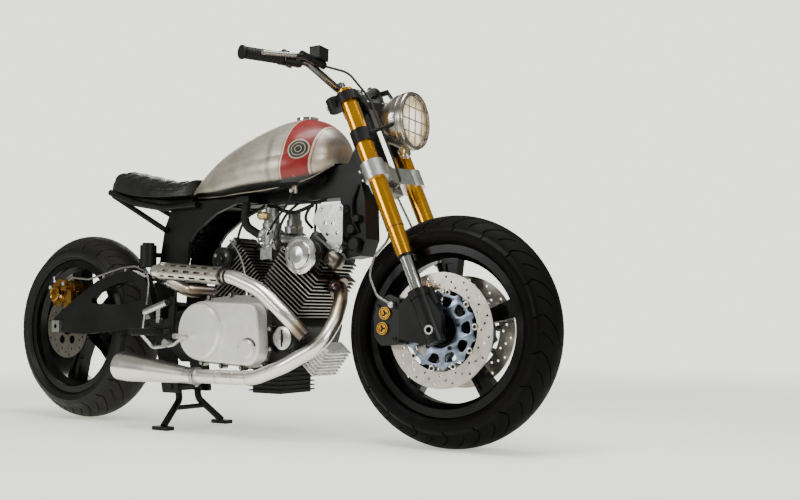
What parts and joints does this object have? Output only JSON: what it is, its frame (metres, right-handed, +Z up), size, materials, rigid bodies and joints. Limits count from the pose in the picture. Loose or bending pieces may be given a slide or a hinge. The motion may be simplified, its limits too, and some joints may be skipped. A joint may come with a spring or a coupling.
{
  "type": "roadster motorcycle",
  "caption": "Custom roadster motorcycle: V-twin engine, bare metal tank with red stripe, quilted solo seat, round headlight, standing on a folding centre stand.",
  "frame": {"origin": "on the ground, midway between the two axles in the side view", "axes": "+X forward, +Y to the rider's left, +Z up"},
  "size_m": [2.1611, 0.7637, 1.1193],
  "materials": {
    "black_frame": "satin black paint",
    "black_wheel": "satin black paint",
    "engine_black": "black heat paint, fin edges bare",
    "cover_silver": "cast and polished",
    "clamp_silver": "machined",
    "carrier_grey": "anodised blue-grey",
    "disc_steel": "ground steel, drilled",
    "chrome": "chrome",
    "gold_tube": "anodised gold",
    "exhaust_steel": "brushed steel with heat tint",
    "tank_steel": "bare brushed steel with a red stripe",
    "seat_cover": "black, quilted",
    "tyre_rubber": "matt black",
    "grip_rubber": "matt black",
    "lamp_metal": "satin metal",
    "lamp_glass": "clear, a little warm",
    "chain_steel": "oiled steel",
    "black_part": "black",
    "axle_steel": "zinc-plated steel",
    "carb_metal": "cast",
    "hose_braid": "braided steel"
  },
  "bodies": {
    "chassis": {"main_frame": "black_frame", "engine_bracket": "clamp_silver", "rear_subframe": "black_frame", "swingarm": "black_frame", "swingarm_pivot": "axle_steel", "rear_axle": "axle_steel", "rear_shock": "black_part", "drive_chain": "chain_steel", "crankcase": "engine_black", "front_cylinder": "engine_black", "front_cylinder_head": "engine_black", "rear_cylinder": "engine_black", "rear_cylinder_head": "engine_black", "right_engine_cover": "cover_silver", "left_engine_cover": "cover_silver", "oil_sump": "black_part", "oil_filter_housing": "cover_silver", "carburettors": "carb_metal", "front_exhaust_pipe": "exhaust_steel", "rear_exhaust_pipe": "exhaust_steel", "muffler": "exhaust_steel", "fuel_tank": "tank_steel", "fuel_cap": "chrome", "seat": "seat_cover", "footrests": "black_part", "heat_shield": "exhaust_steel", "rear_caliper": "gold_tube", "foot_levers": "black_part", "rear_brake_line": "hose_braid", "cylinder_head_caps": "cover_silver", "intake_hoses": "grip_rubber"},
    "steering": {"fork_tubes": "gold_tube", "fork_legs": "chrome", "front_axle": "axle_steel", "lower_clamp": "clamp_silver", "upper_clamp": "black_part", "front_calipers": "black_part", "handlebar": "black_part", "hand_grips": "grip_rubber", "hand_levers": "black_part", "headlight_shell": "lamp_metal", "headlight_glass": "lamp_glass", "headlight_guard": "lamp_metal", "headlight_bracket": "black_part", "front_brake_lines": "hose_braid", "fork_feet": "black_part"},
    "front_wheel": {"front_tyre": "tyre_rubber", "front_rim": "black_wheel", "front_discs": "disc_steel", "front_disc_carriers": "carrier_grey"},
    "rear_wheel": {"rear_tyre": "tyre_rubber", "rear_rim": "black_wheel", "rear_disc": "disc_steel", "rear_sprocket": "black_part"},
    "stand": {"centre_stand": "black_part"}
  },
  "joints": [
    {"name": "steering_turn", "type": "hinge", "parent": "chassis", "child": "steering", "pos_m": [0.48907, 0, 0.85424], "axis": [-0.3987, 0, 0.9171], "range_deg": [-32.7, 23.3]},
    {"name": "front_wheel_spin", "type": "hinge", "parent": "steering", "child": "front_wheel", "pos_m": [0.76039, 0.00288, 0.31795], "axis": [-0.0751, 0.9966, -0.0327], "continuous": true},
    {"name": "rear_wheel_spin", "type": "hinge", "parent": "chassis", "child": "rear_wheel", "pos_m": [-0.7605, 0, 0.326], "axis": [0, 1, 0], "continuous": true},
    {"name": "stand_fold", "type": "hinge", "parent": "chassis", "child": "stand", "pos_m": [-0.262, 0, 0.132], "axis": [0, 1, 0], "range_deg": [0, 80]}
  ]
}
